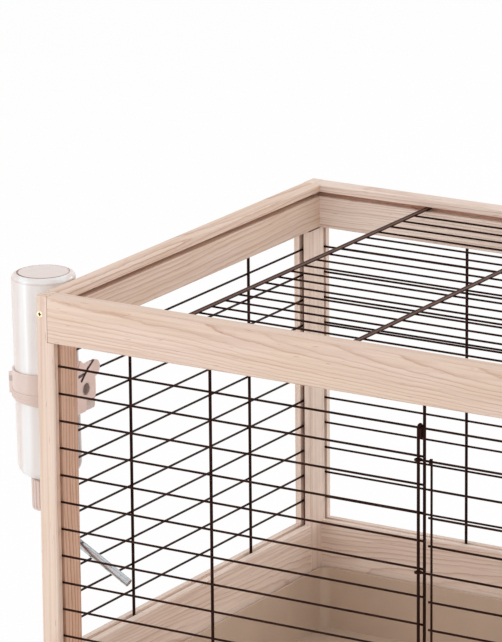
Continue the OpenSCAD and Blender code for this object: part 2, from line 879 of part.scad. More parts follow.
module bracket_clip() {
    color(plastic_beige) placed() plate(plate_in_x, plate_t) difference() {
        union() {
            corner_plate([plate_front, clip_low], [clip_back, clip_top], plate_r);
            corner_plate([plate_front, foot_low], [foot_back, clip_top], plate_r);
            translate([lobe_back, lobe_up]) circle(lobe_r);
            // Arm that springs over the lobe, with a peak at its root
            polygon([
                [plate_front, 0], [lobe_back, 0], [lobe_back, lobe_up],
                [lobe_back - lobe_r / 2, arm_up], [peak_back + 6, arm_up - 0.4],
                [peak_back, peak_up], [plate_front, lobe_up]
            ]);
        }
        circle(stud_r + screw_gap);
        slit(slit_from, 42, slit_len, slit_w);
        slit(tip_slit_from, 31, tip_slit_len, slit_w * 0.75);
        slit(root_slit_from, 3.5, root_slit_len, slit_w * 0.9);
    }
}

color(pine) placed() post();  // post_front_left
color(pine) placed() to_right() post_open_for_roof();  // post_front_right
color(pine) placed() to_rear() post();  // post_rear_left
color(pine) placed() to_rear() to_right() post_open_for_roof();  // post_rear_right
color(pine) placed() top_rail_long();  // top_rail_front
color(pine) placed() to_rear() top_rail_long();  // top_rail_rear
top_rail_left();
top_rail_right();
low_rail_front();
low_board_rear();
color(pine) placed() low_board_side();  // low_board_left
color(pine) placed() to_right() low_board_side();  // low_board_right
color(pine_shade) placed() base_rail_long();  // base_rail_front
color(pine_shade) placed() to_rear() base_rail_long();  // base_rail_rear
color(pine_shade) placed() base_rail_side();  // base_rail_left
color(pine_shade) placed() to_right() base_rail_side();  // base_rail_right
base_cross_rail();
floor_panel();
placed() frame_screws();
front_grid();
rear_grid();
color(enamel) placed() side_grid();  // left_grid
color(enamel) placed() to_right() side_grid();  // right_grid
hinge_rod();
front_door();
latch_bolt();
roof_panel();
tray();
bottle_bracket();
bracket_clip();
bottle_body();
bottle_cap();
cap_seal();
spout_tube();
spout_ball();
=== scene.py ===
"""Looks of the wooden rabbit cage: planed pine, enamelled wire, moulded plastic, brass and steel,
on a plain pale studio floor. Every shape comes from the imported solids; this file gives them their
surfaces, and adds the stage, the lamps and the camera."""

import math
from typing import NamedTuple

import bpy
from mathutils import Matrix, Vector


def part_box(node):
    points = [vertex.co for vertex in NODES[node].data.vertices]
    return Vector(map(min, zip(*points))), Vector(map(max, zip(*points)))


bl_info = {
    "name": "Rabbit Cage Finishes",
    "version": (1, 0, 0),
    "blender": (4, 5, 0),
    "location": "View3D > Sidebar > Rabbit Cage",
    "description": "Gives a wooden rabbit cage its timber, wire, plastic and metal surfaces",
    "category": "Object",
}

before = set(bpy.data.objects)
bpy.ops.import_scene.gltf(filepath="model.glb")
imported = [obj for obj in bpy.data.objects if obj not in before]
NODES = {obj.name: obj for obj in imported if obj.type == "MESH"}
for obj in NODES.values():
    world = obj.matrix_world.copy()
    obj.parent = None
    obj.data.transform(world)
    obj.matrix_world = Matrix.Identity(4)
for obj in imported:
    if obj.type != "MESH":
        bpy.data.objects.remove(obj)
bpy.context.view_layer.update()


# Shader expressions


class Flow:
    """A socket of a material. Arithmetic on it adds Math nodes."""

    def __init__(self, paint, socket):
        self.paint = paint
        self.socket = socket

    def math(self, operation, *values):
        return self.paint.add("ShaderNodeMath", {"operation": operation}, dict(enumerate(values)))

    def __add__(self, other):
        return self.math("ADD", self, other)

    def __radd__(self, other):
        return self.math("ADD", other, self)

    def __sub__(self, other):
        return self.math("SUBTRACT", self, other)

    def __rsub__(self, other):
        return self.math("SUBTRACT", other, self)

    def __mul__(self, other):
        return self.math("MULTIPLY", self, other)

    def __rmul__(self, other):
        return self.math("MULTIPLY", other, self)

    def __truediv__(self, other):
        return self.math("DIVIDE", self, other)

    def __rtruediv__(self, other):
        return self.math("DIVIDE", other, self)

    def root(self):
        return self.math("SQRT", self)

    def size(self):
        return self.math("ABSOLUTE", self)

    def fraction(self):
        return self.math("FRACT", self)

    def smaller(self, other):
        return self.math("MINIMUM", self, other)

    def larger(self, other):
        return self.math("MAXIMUM", self, other)


class Paint:
    """The nodes of a material or of the world, under construction."""

    def __init__(self, name, owner=None):
        self.material = owner or bpy.data.materials.new(name)
        self.material.use_nodes = True
        self.tree = self.material.node_tree
        self.tree.nodes.clear()

    def add(self, kind, settings=None, values=None, output=0):
        """Adds a node, sets it up, fills its sockets and returns one of its outputs."""
        node = self.tree.nodes.new(kind)
        for key, value in (settings or {}).items():
            if key == "stops":
                ramp = node.color_ramp
                while len(ramp.elements) < len(value):
                    ramp.elements.new(0.5)
                for element, (place, level) in zip(ramp.elements, value):
                    element.position = place
                    element.color = (level, level, level, 1)
            else:
                setattr(node, key, value)
        for key, value in (values or {}).items():
            if isinstance(value, Flow):
                self.tree.links.new(value.socket, node.inputs[key])
            else:
                node.inputs[key].default_value = value
        return Flow(self, node.outputs[output]) if node.outputs else None

    def point(self):
        """The point on the object, in metres."""
        return self.add("ShaderNodeTexCoord", output="Object")

    def axes(self):
        """The same point as three numbers."""
        point = self.point()
        return [self.add("ShaderNodeSeparateXYZ", {}, {0: point}, k) for k in range(3)]

    def vector(self, x, y, z):
        return self.add("ShaderNodeCombineXYZ", {}, {0: x, 1: y, 2: z})

    def stretched(self, axes, waves):
        """The point for a noise that has so many waves in a metre along each axis."""
        return self.vector(*(axis * count for axis, count in zip(axes, waves)))

    def noise(self, vector, scale=1.0, detail=2.0, rough=0.5):
        values = {"Vector": vector, "Scale": scale, "Detail": detail, "Roughness": rough}
        return self.add("ShaderNodeTexNoise", {"noise_dimensions": "3D"}, values, "Fac")

    def ramp(self, factor, stops):
        """A curve of numbers through the stops (place, level)."""
        return self.add("ShaderNodeValToRGB", {"stops": stops}, {0: factor})

    def between(self, factor, low, high):
        """0 below low, 1 above high, smooth between."""
        values = {"Value": factor, "From Min": low, "From Max": high}
        return self.add("ShaderNodeMapRange", {"interpolation_type": "SMOOTHSTEP"}, values)

    def patches(self, noise, start, full, share):
        """Patches of a layer: nothing where the noise is at start, its share where it is full."""
        return self.between(noise, start, full) * share

    def blend(self, factor, first, second):
        """One colour turning into another."""
        first, second = [c if isinstance(c, Flow) else (*c, 1) for c in (first, second)]
        values = {0: factor, 6: first, 7: second}
        return self.add("ShaderNodeMix", {"data_type": "RGBA"}, values, 2)

    def bump(self, height, strength, distance):
        values = {"Height": height, "Strength": strength, "Distance": distance}
        return self.add("ShaderNodeBump", {}, values)

    def surface(self, colour, roughness, normal, **constants):
        """Principled surface. The constants are sockets that are the same all over."""
        values = {"Base Color": colour, "Roughness": roughness, "Normal": normal}
        values.update({key.replace("_", " "): value for key, value in constants.items()})
        self.show(self.add("ShaderNodeBsdfPrincipled", {}, values))

    def show(self, shader):
        self.add("ShaderNodeOutputMaterial", {}, {"Surface": shader})


def cover(name, paint):
    """Gives a node of the frame its finished material."""
    for slot in NODES[name].material_slots:
        slot.material = paint.material


def linear(hexed):
    """Linear colour of a screen colour written as RRGGBB."""
    values = [int(hexed[k : k + 2], 16) / 255 for k in (0, 2, 4)]
    return tuple(v / 12.92 if v < 0.04045 else ((v + 0.055) / 1.055) ** 2.4 for v in values)


# Sizes and colours that a user would change


def colour_property(name, description, hexed):
    return bpy.props.FloatVectorProperty(
        name=name,
        description=description,
        subtype="COLOR",
        size=3,
        min=0,
        max=1,
        default=linear(hexed),
    )


class TimberLook(bpy.types.PropertyGroup):
    cream: colour_property("Cream", "Pale wood between the growth rings", "F3E4D8")
    tan: colour_property("Tan", "Darker pale wood, of which each board has its share", "D8B9A0")
    blush: colour_property("Blush", "Pinker patches of the pale wood", "E6CFC2")
    # Redder heartwood, which on the front left post also stands in as painted shade on its inner
    # side
    heart: colour_property("Heartwood", "Redder wood near the tree's centre", "E0B79E")
    late: colour_property("Late wood", "Dark edge of the growth rings", "A9785E")
    # Rough sawn wood in the rails' roof groove, made darker as painted shade
    sawn: colour_property("Sawn", "Rough wood inside the rails' grooves", "DBA384")
    # Painted shade inside the posts' grooves and in the joint on their shoulders
    slot: colour_property("Slot", "Dark wood inside the posts' grooves and joints", "45190C")
    fleck: colour_property("Fleck", "Short resin flecks and pores", "8A5C44")
    wander: bpy.props.FloatProperty(
        name="Wander", description="How far the tree's centre wanders, in ring widths", default=3
    )
    wave: bpy.props.FloatProperty(
        name="Wave", description="Strength of the rings' small waves", default=1, min=0
    )
    roughness: bpy.props.FloatProperty(
        name="Roughness", description="Roughness of the planed face", default=0.56, min=0, max=1
    )
    fibre: colour_property("Board fibre", "Hardboard between its flakes", "A98A72")
    flake: colour_property("Board flake", "Paler flakes of the hardboard", "C4A68E")
    cloud: colour_property("Board cloud", "Darker clouds of the hardboard", "8E6F5A")


class WireLook(bpy.types.PropertyGroup):
    enamel: colour_property("Enamel", "Dark enamel of the thin wires", "26110C")
    thin: colour_property("Thin enamel", "Browner spots where the enamel is thin", "4A2F27")
    # Painted highlight on the flank of the roof's rods
    painted_highlight: colour_property("Rubbed enamel", "Flank of the roof's rods, rubbed lighter", "745448")
    roughness: bpy.props.FloatProperty(
        name="Roughness", description="Roughness of the enamel", default=0.42, min=0, max=1
    )


class PlasticLook(bpy.types.PropertyGroup):
    bracket: colour_property("Bracket", "Beige plastic of the bracket and the cap", "D7C2B9")
    # The bracket's own plastic made lighter, as painted light on the clip
    clip: colour_property("Clip", "Lighter plastic of the bracket's clip", "EACDC3")
    # Painted shade in the clip's slits and the stud's bore
    shade: colour_property("Shade", "Dark of the clip's slits and the stud's bore", "371711")
    bottle: colour_property("Bottle", "Milky plastic of the bottle", "FCF8F6")
    # Pink of the bottle's flow streaks and flat base, and of the painted shade on its flanks
    seam: colour_property("Bottle seam", "Pinker streaks of the bottle", "EBD5CD")
    # Painted shade of the bottle's outline and of the line round its base; the faint line below the
    # base's rounded edge uses it too
    base_rim: colour_property("Base line", "Line round the bottle's base", "8F5F57")
    shoulder: bpy.props.FloatProperty(
        name="Shoulder",
        description="Depth of the base's rounded edge",
        unit="LENGTH",
        default=0.0055,
    )
    base_line: bpy.props.FloatProperty(
        name="Base line radius",
        description="Radius of that line",
        unit="LENGTH",
        default=0.0251,
    )
    tray: colour_property("Tray", "Plastic of the tray", "CDB7A4")
    rubber: colour_property("Rubber", "Rubber of the cap's seal", "8A857F")


class MetalLook(bpy.types.PropertyGroup):
    brass: colour_property("Brass", "Plating of the screws", "E3D3B4")
    tarnish: colour_property("Tarnish", "Duller spots of the plating", "C9A866")
    # Painted shade in the screws' recesses
    recess_shade: colour_property("Dirt", "Dirt in the screws' recesses", "2E1E12")
    steel: colour_property("Steel", "Drinking tube and ball", "C9CCD0")
    dull: colour_property("Dull steel", "Duller spots of the steel", "9DA1A6")


class StageLook(bpy.types.PropertyGroup):
    world: bpy.props.FloatProperty(
        name="World", description="Light from all round", default=0.94, min=0
    )
    key: bpy.props.FloatProperty(
        name="Key", description="Power of the large lamp at the front", subtype="POWER", default=3.2
    )
    fill: bpy.props.FloatProperty(
        name="Fill", description="Power of the lamp above", subtype="POWER", default=0.2
    )
    side: bpy.props.FloatProperty(
        name="Side",
        description="Power of the large lamp at the rear right",
        subtype="POWER",
        default=30,
    )
    strip: bpy.props.FloatProperty(
        name="Strip",
        description="Power of the tall lamp beside the bottle",
        subtype="POWER",
        default=3.7,
    )
    lens: bpy.props.FloatProperty(
        name="Lens",
        description="Focal length of the camera",
        unit="CAMERA",
        default=280.4,
        min=20,
    )
    eye: bpy.props.FloatVectorProperty(
        name="Eye",
        description="Place of the camera",
        unit="LENGTH",
        default=(2.0168, -4.0038, 1.7706),
    )


# Timber and board


class Board(NamedTuple):
    """How a board was sawn: where the tree's centre lies from the middle of its section, and what
    the growth rings look like."""

    grain: str  # axis along the grain
    angle: float  # direction of the tree's centre, in degrees round the grain
    distance: float  # distance of that centre
    drift: float  # how much nearer it comes with each metre along the board
    ring: float  # width of a ring
    depth: float  # depth of the rings' colour
    ripples: float  # height of the rings' small waves
    tan: float  # share of the darker tan in the pale wood
    heart: float = 0.0  # radius of the redder heartwood


class Figure(NamedTuple):
    """A pattern in the wood: noise drawn out along the grain, and how much of it shows."""

    along: float  # waves in a metre along the grain
    across: float  # waves in a metre across it
    detail: float
    rough: float
    start: float = 0.0  # noise at which the pattern starts to show
    full: float = 1.0  # noise at which it is full
    share: float = 1.0  # strength of its colour there


# Sizes that the timber's surfaces need: thickness of the timber, height of the top rails,
# width of all grooves, their depths, and where the roof groove starts below the rail's top
TIMBER = 0.019
TOP_RAIL = 0.045
GROOVE = 0.005
ROOF_GROOVE_DEEP = 0.010
GRID_GROOVE_DEEP = 0.006
ROOF_GROOVE_TOP = 0.0075
ROOF_RAILS = ("top_rail_front", "top_rail_rear", "top_rail_left")

# How the sawn wood and painted shade of a groove fade in or out: beside the groove's walls, under
# the board's face, and past the groove's bottom
WALL_FADE = 0.0003
FACE_FADE = (0.0003, 0.0020)
BOTTOM_FADE = 0.0005
# The painted shadow line of the joint on a post's shoulder, behind the strip that runs up beside
# the top rail
JOINT_FADE = (0.0004, 0.0010)
STRIP_FADE = 0.0005
# Share of the darker wood in the roof groove, which is sawn wood with painted shade, and of the
# painted shade in the joint
ROOF_GROOVE_SHARE = 0.85
JOINT_SHARE = 0.9

# Redder heartwood, which on the front left post also serves as painted shade on its inner side:
# half the width of its edge, how far it stays from the cage's left side and fades there, and how
# far it fades above the joint with the top rails
HEART_EDGE = 0.003
HEART_ASIDE = 0.004
HEART_ASIDE_FADE = 0.004
HEART_JOINT_FADE = 0.012

BOARDS = {
    "top_rail_front": Board("X", 25, 0.050, 0.018, 0.0018, 0.60, 0.0010, 0.62),
    "top_rail_rear": Board("X", 275, 0.060, 0.020, 0.0030, 0.80, 0.0022, 0.05),
    "top_rail_left": Board("Y", 250, 0.060, 0.020, 0.0042, 0.75, 0.0016, 0.70),
    "top_rail_right": Board("Y", 20, 0.044, -0.018, 0.0032, 0.60, 0.0030, 0.25),
    "low_rail_front": Board("X", 12, 0.044, -0.014, 0.0016, 0.55, 0.0010, 0.25),
    "low_board_rear": Board("X", 172, 0.060, 0.030, 0.0022, 0.60, 0.0016, 0.15),
    "low_board_left": Board("Y", 8, 0.065, -0.026, 0.0024, 0.60, 0.0016, 0.25),
    "low_board_right": Board("Y", 176, 0.070, 0.028, 0.0022, 0.60, 0.0016, 0.20),
    "base_rail_front": Board("X", 80, 0.042, -0.014, 0.0030, 0.60, 0.0020, 0.30),
    "base_rail_rear": Board("X", 250, 0.040, 0.018, 0.0030, 0.60, 0.0020, 0.30),
    "base_rail_left": Board("Y", 100, 0.044, 0.016, 0.0032, 0.60, 0.0020, 0.30),
    "base_rail_right": Board("Y", 290, 0.048, -0.020, 0.0030, 0.60, 0.0020, 0.30),
    "base_cross_rail": Board("Y", 60, 0.038, 0.020, 0.0032, 0.60, 0.0020, 0.30),
    "post_front_left": Board("Z", 91, 0.075, 0.004, 0.0050, 1.3, 0.0008, 0.50, 0.090),
    "post_front_right": Board("Z", 250, 0.046, -0.012, 0.0034, 0.65, 0.0015, 0.25),
    "post_rear_left": Board("Z", 30, 0.060, 0.006, 0.0042, 0.10, 0.0012, 0.35),
    "post_rear_right": Board("Z", 140, 0.052, 0.010, 0.0034, 0.65, 0.0015, 0.25),
}
# Keeps the patterns of two boards apart, the two parts of one tree's wandering, and the strength
# of its rings
SEED_STEP = 3.7
SEED_APART = 9
SEED_STRENGTH = 2
# How often the tree's centre wanders, in waves in a metre along the grain and across it
WANDER_ALONG = 4.5
WANDER_ACROSS = 6
# How the rings' widths change: waves in a metre of radius, and how far, in ring widths
WIDTH_WAVES = 160
WIDTH_CHANGE = 1.6
# Height of the ripples on a ring's edge, in ring widths
RIPPLE_HEIGHT = 0.35
# Strength of the weakest rings, next to 1 for the strongest, and how often it changes: in waves
# in a metre along the grain and in waves in a ring
WEAKEST_RING = 0.3
STRENGTH_ALONG = 3
STRENGTH_ACROSS = 0.7
# What the fibres add to the wood's roughness and the late wood takes from it, and how far they
# stand out and the flecks lie sunk in the relief
FIBRE_ROUGH = 0.16
LATE_SMOOTH = 0.05
FIBRE_RAISED = 0.6
LATE_RAISED = 0.5
FLECK_SUNK = 0.5
# Darkness across one growth ring, from its early wood to its late wood
RING_STOPS = ((0, 0.2), (0.06, 0.02), (0.55, 0.07), (0.8, 0.4), (0.92, 1), (1, 0.2))
# The figures in the wood. The wave and the ripple only move the rings
FIGURES = {
    "wave": Figure(26, 34, 2, 0.5),
    "ripple": Figure(60, 160, 2, 0.5),
    "fibre": Figure(9, 1100, 3, 0.6, 0.50, 0.75, 0.26),
    "streak": Figure(3.5, 260, 3, 0.6, 0.40, 0.80, 0.30),
    "fleck": Figure(60, 800, 1, 0.5, 0.69, 0.78, 0.40),
    "blush": Figure(7, 30, 3, 0.6, 0.36, 0.64, 0.60),
}


def faces(name, axis):
    """Where a board's two faces lie: towards the middle of the cage, and away from it."""
    low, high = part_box(name)
    return sorted((low[axis], high[axis]), key=abs)


def behind(coordinate, face):
    """How far a point lies behind a face that looks towards the middle of the cage."""
    return (coordinate - face) * math.copysign(1, face)


def groove(paint, aside, depth, deepest):
    """1 inside a groove, else 0. A point lies aside from the groove's middle, and at a depth
    behind the board's face."""
    slot = 1 - paint.between(aside.size(), GROOVE / 2 - WALL_FADE, GROOVE / 2)
    bottom = paint.between(depth, deepest, deepest + BOTTOM_FADE)
    return slot * (paint.between(depth, *FACE_FADE) * (1 - bottom))


def sawn_wood_and_shade(paint, name, point):
    """Share of the darker wood inside the roof groove, where it is sawn wood with painted shade,
    and of the painted shade in the grid grooves of a post and in the joint on its shoulder. Other
    boards show none."""
    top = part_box(name)[1][2]
    if name in ROOF_RAILS:
        face = 0 if name == "top_rail_left" else 1
        inner, _ = faces(name, face)
        aside = point[2] - (top - ROOF_GROOVE_TOP - GROOVE / 2)
        depth = behind(point[face], inner)
        return groove(paint, aside, depth, ROOF_GROOVE_DEEP) * ROOF_GROOVE_SHARE
    if not name.startswith("post"):
        return None
    cuts = []
    for face, across in ((0, 1), (1, 0)):
        inner, _ = faces(name, face)
        _, outer = faces(name, across)
        aside = point[across] - (outer - math.copysign(TIMBER / 2, outer))
        cuts.append(groove(paint, aside, behind(point[face], inner), GRID_GROOVE_DEEP))
    joint = 1 - paint.between((point[2] - (top - TOP_RAIL)).size(), *JOINT_FADE)
    _, outer = faces(name, 1)
    inward = (outer - point[1]) * math.copysign(1, outer)
    joint = joint * paint.between(inward, TIMBER, TIMBER + STRIP_FADE)
    return cuts[0].larger(cuts[1]).larger(joint * JOINT_SHARE)


def pine_paint(name, look):
    """Flat-sawn pine: growth rings round the tree's centre, fibres along the grain, flecks."""
    board = BOARDS[name]
    low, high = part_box(name)
    middle = [(a + b) / 2 for a, b in zip(low, high)]
    seed = SEED_STEP * list(BOARDS).index(name)
    paint = Paint("pine_" + name)
    point = paint.axes()
    along = "XYZ".index(board.grain)
    across = [k for k in range(3) if k != along]
    run = point[along]
    turn = math.radians(board.angle)
    way = (math.cos(turn), math.sin(turn))
    u, v = [point[k] - (middle[k] + board.distance * w) for k, w in zip(across, way)]

    def drawn(kind, shift=0.0):
        """The noise of one of the figures."""
        figure = FIGURES[kind]
        far = run * figure.along + shift
        place = paint.vector(far, u * figure.across, v * figure.across)
        return paint.noise(place, detail=figure.detail, rough=figure.rough)

    def shown(kind, noise):
        """The share of a figure's colour that shows."""
        figure = FIGURES[kind]
        return paint.patches(noise, figure.start, figure.full, figure.share)

    # The tree's centre wanders slowly, and small waves ride on it
    far = run * WANDER_ALONG
    places = (
        paint.vector(far, seed, u * WANDER_ACROSS),
        paint.vector(far, v * WANDER_ACROSS, seed + SEED_APART),
    )
    sway, roll = [paint.noise(place, detail=1.5, rough=0.4) - 0.5 for place in places]
    wave = drawn("wave", seed) - 0.5
    drifted = (run - middle[along]) * board.drift
    wander = look.wander * board.ring
    du = u + sway * wander + drifted * way[0]
    dv = v + roll * wander + drifted * way[1]
    radius = (du * du + dv * dv).root() + wave * (board.ripples * look.wave)

    # Rings differ in width and strength, and their edges have small ripples
    width = paint.noise(paint.vector(seed, radius * WIDTH_WAVES, 0.5), detail=1, rough=0.4)
    ripple = drawn("ripple") - 0.5
    turns = radius / board.ring + width * WIDTH_CHANGE + ripple * RIPPLE_HEIGHT
    late = paint.ramp(turns.fraction(), RING_STOPS)
    place = paint.vector(seed + SEED_STRENGTH, turns * STRENGTH_ACROSS, run * STRENGTH_ALONG)
    strong = paint.noise(place, detail=1)
    strength = paint.patches(strong, start=0.25, full=0.75, share=1 - WEAKEST_RING) + WEAKEST_RING

    fibre = drawn("fibre")
    pores = drawn("fleck")
    pale = tuple(a + (b - a) * board.tan for a, b in zip(look.cream, look.tan))
    base = paint.blend(shown("blush", drawn("blush", seed)), pale, look.blush)
    if board.heart:
        sapwood = paint.between(radius, board.heart - HEART_EDGE, board.heart + HEART_EDGE)
        # The heart, which is also painted shade on the post's inner side, ends below the joint with
        # the top rails, and short of the cage's left side
        joint, side = high[2] - TOP_RAIL, low[0] + HEART_ASIDE
        sapwood = sapwood.larger(paint.between(point[2], joint, joint + HEART_JOINT_FADE))
        sapwood = sapwood.larger(1 - paint.between(point[0], side, side + HEART_ASIDE_FADE))
        base = paint.blend(sapwood, look.heart, base)
    base = paint.blend(shown("streak", drawn("streak")), base, look.late)
    base = paint.blend(late * strength * board.depth, base, look.late)
    base = paint.blend(shown("fibre", fibre), base, look.late)
    base = paint.blend(shown("fleck", pores), base, look.fleck)
    # Sawn wood with painted shade in the roof groove; painted shade in the posts' grooves and joint
    sawn_and_shade = sawn_wood_and_shade(paint, name, point)
    if sawn_and_shade:
        base = paint.blend(sawn_and_shade, base, look.slot if name.startswith("post") else look.sawn)

    smooth = look.roughness - FIBRE_ROUGH / 2
    roughness = fibre * FIBRE_ROUGH + smooth - late * LATE_SMOOTH
    sunk = paint.patches(pores, FIGURES["fleck"].start, FIGURES["fleck"].full, FLECK_SUNK)
    height = late * LATE_RAISED + fibre * FIBRE_RAISED - sunk
    relief = paint.bump(height, strength=0.22, distance=0.0004)
    paint.surface(base, roughness, relief, Specular_IOR_Level=0.3)
    return paint


def hardboard_paint(look):
    """Pressed wood fibres."""
    paint = Paint("hardboard")
    point = paint.point()
    flakes = paint.noise(point, scale=420, detail=4, rough=0.65)
    clouds = paint.noise(point, scale=22, detail=3)
    base = paint.blend(paint.between(flakes, low=0.3, high=0.7), look.fibre, look.flake)
    base = paint.blend(clouds * 0.35, base, look.cloud)
    paint.surface(base, flakes * 0.2 + 0.5, paint.bump(flakes, strength=0.2, distance=0.0003))
    return paint


class CAGE_OT_timber(bpy.types.Operator):
    """Gives every rail, board and post its own run of pine grain"""

    bl_idname = "rabbit_cage.timber"
    bl_label = "Finish Timber"

    def execute(self, context):
        look = context.scene.cage_timber
        for name in BOARDS:
            cover(name, pine_paint(name, look))
        return {"FINISHED"}


class CAGE_OT_floor_panel(bpy.types.Operator):
    """Gives the floor panel its hardboard"""

    bl_idname = "rabbit_cage.floor_panel"
    bl_label = "Finish Floor Panel"

    def execute(self, context):
        cover("floor_panel", hardboard_paint(context.scene.cage_timber))
        return {"FINISHED"}


# Wire

WIRE_NODES = (
    "front_grid", "rear_grid", "left_grid", "right_grid", "front_door", "hinge_rod", "latch_bolt"
)
# Side on whose flanks the roof's rods get a painted highlight, and how squarely a flank has to face
# it
HIGHLIGHT_SIDE = (0.88, 0, 0.48)
HIGHLIGHT_FADE = (0.86, 0.98)


def enamel_paint(name, look, highlight_side=None):
    """Baked enamel on drawn wire: slight waves, thin spots where brown shows through. Where the
    surface faces the given side, a painted highlight makes the enamel lighter."""
    paint = Paint(name)
    point = paint.point()
    waves = paint.noise(point, scale=340)
    clouds = paint.noise(point, scale=35)
    spots = paint.patches(clouds, start=0.45, full=0.75, share=0.35)
    base = paint.blend(spots, look.enamel, look.thin)
    if highlight_side:
        # A painted highlight where the surface faces the given side
        normal = paint.add("ShaderNodeTexCoord", output="Normal")
        values = {0: normal, 1: highlight_side}
        facing = paint.add("ShaderNodeVectorMath", {"operation": "DOT_PRODUCT"}, values, "Value")
        painted_highlight = paint.between(facing, *HIGHLIGHT_FADE) * (clouds * 0.6 + 0.5)
        base = paint.blend(painted_highlight, base, look.painted_highlight)
    rough = waves * 0.14 + clouds * 0.10 + (look.roughness - 0.12)
    relief = paint.bump(waves, strength=0.25, distance=0.0003)
    paint.surface(base, rough, relief, Specular_IOR_Level=0.1, Specular_Tint=(0.8, 0.5, 0.4, 1))
    return paint


class CAGE_OT_wire(bpy.types.Operator):
    """Gives the grids, the door, the roof panel and the latch their enamel"""

    bl_idname = "rabbit_cage.wire"
    bl_label = "Finish Wire"

    def execute(self, context):
        look = context.scene.cage_wire
        enamel = enamel_paint("wire_enamel", look)
        for name in WIRE_NODES:
            cover(name, enamel)
        # The painted highlight falls on the roof's cross rods only, since only they have a flank
        # that faces this way
        cover("roof_panel", enamel_paint("roof_enamel", look, HIGHLIGHT_SIDE))
        return {"FINISHED"}


# Plastic

# The bracket's clip, from the centre of its stud: how far it reaches to the front and down, the
# stud's bore, and each slit's start in Y and Z, angle, length and width
CLIP_FRONT = 0.0174
CLIP_FOOT = 0.022
STUD_BORE = 0.0059
CLIP_SLITS = (
    (-0.0086, 0.0092, 42, 0.017, 0.0018),
    (0.0030, 0.0196, 31, 0.016, 0.00135),
    (-0.0132, 0.0149, 3.5, 0.013, 0.0016),
)

# How the painted shade in a slit fades: beside its walls, past its ends and under the clip's face;
# how dark it is at the face, and how much darker below
SLIT_WALL_FADE = (0.0005, 0.0012)
SLIT_END_FADE = 0.0004
SLIT_FACE_FADE = (0.0001, 0.0004)
SLIT_DARK = 0.88
SLIT_DARKER = 0.1
# The same for the stud's bore
BORE_WALL_FADE = 0.0003
BORE_FACE_FADE = (0.0002, 0.0012)
BORE_DARK = 0.3

# Waves in a metre along X, Y and Z of the scuffs on moulded plastic and of the bottle's streaks
SCUFF_WAVES = (40, 300, 300)
STREAK_WAVES = (60, 60, 3)

# The bottle: direction of the upright plane through its axis that points at the camera, and, as
# shares of its radius, how far from that plane the painted shade of the flanks, of the middle and
# of the outline fades. The middle has less of it
SHADE_PLANE_TURN = math.radians(31.6)
FLANK_FADE = (0.66, 0.80)
MIDDLE_FADE = (0.38, 0.52)
MIDDLE_SHARE = 0.4
OUTLINE_FADE = (0.94, 1.01)
# Depth below the bottle's base where its flat face begins and is full
BASE_FADE = (0.0025, 0.0015)
# Half the width of the line round the base, and of the faint one below its rounded edge
LINE_FADE = (0.0007, 0.0013)
SHOULDER_FADE = (0.0004, 0.0014)
# How far in front of the bottle's axis the line turns from faint to full, and how faint it is
LINE_FRONT = (-0.010, 0.020)
LINE_FAINT = 0.2
LINE_MORE = 0.75
# Width over which the tint of the flat base ends at the line
DISC_FADE = 0.0008
# The least roughness of the bottle, and what its skin and its streaks each add
BOTTLE_ROUGH = 0.16
BOTTLE_ROUGHER = 0.06


def moulded_paint(name, look, colour, roughness, grain, shaded=None):
    """Injection-moulded plastic: fine grain, faint flow clouds, a few scuffs. A function shaded
    gives the places where shade is painted."""
    paint = Paint(name)
    axes = paint.axes()
    point = paint.vector(*axes)
    skin = paint.noise(point, scale=2200, rough=0.6)
    flow = paint.noise(point, scale=18, detail=3)
    scuffs = paint.noise(paint.stretched(axes, SCUFF_WAVES), detail=4, rough=0.7)
    clouds = paint.patches(flow, start=0.35, full=0.65, share=0.5)
    base = paint.blend(clouds, colour, tuple(c * 0.9 for c in colour))
    if shaded:
        base = paint.blend(shaded(paint, *axes), base, look.shade)
    dull = paint.patches(scuffs, start=0.6, full=0.75, share=0.12)
    rough = skin * 0.08 + dull + (roughness - 0.05)
    paint.surface(
        base,
        rough,
        paint.bump(skin, strength=grain, distance=0.0002),
        Subsurface_Weight=0.12,
        Subsurface_Radius=(0.006, 0.004, 0.003),
        Subsurface_Scale=1.0,
        Specular_IOR_Level=0.45,
    )
    return paint


def stud_centre():
    """Y and Z of the centre of the bracket's stud, and X of the clip's face, where it ends."""
    low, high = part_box("bracket_clip")
    return low[1] + CLIP_FRONT, low[2] + CLIP_FOOT, high[0]


def clip_slits(paint, x, y, z):
    """Share of the painted shade on the walls of the clip's slits, a little less at the clip's
    face.
    """
    centre_y, centre_z, face = stud_centre()
    walls = None
    for start_y, start_z, angle, length, width in CLIP_SLITS:
        a, b = math.cos(math.radians(angle)), math.sin(math.radians(angle))
        dy, dz = y - (centre_y + start_y), z - (centre_z + start_z)
        along, off = dy * a + dz * b, (dz * a - dy * b).size()
        wall = 1 - paint.between(off, *(width / 2 + fade for fade in SLIT_WALL_FADE))
        end = 1 - paint.between(along, length, length + SLIT_END_FADE)
        wall = wall * (paint.between(along, -SLIT_END_FADE, 0) * end)
        walls = wall if walls is None else walls.larger(wall)
    return walls * (paint.between(face - x, *SLIT_FACE_FADE) * SLIT_DARKER + SLIT_DARK)


def stud_bore(paint, x, y, z):
    """Share of the painted shade inside the stud's hollow end."""
    centre_y, centre_z, face = stud_centre()
    dy, dz = y - centre_y, z - centre_z
    around = (dy * dy + dz * dz).root()
    inside = 1 - paint.between(around, STUD_BORE, STUD_BORE + BORE_WALL_FADE)
    return inside * paint.between(face - x, *BORE_FACE_FADE) * BORE_DARK


# Pieces of the bracket's plastic, with where shade is painted on each
BRACKET_NODES = {"bottle_bracket": stud_bore, "bracket_clip": clip_slits, "bottle_cap": None}


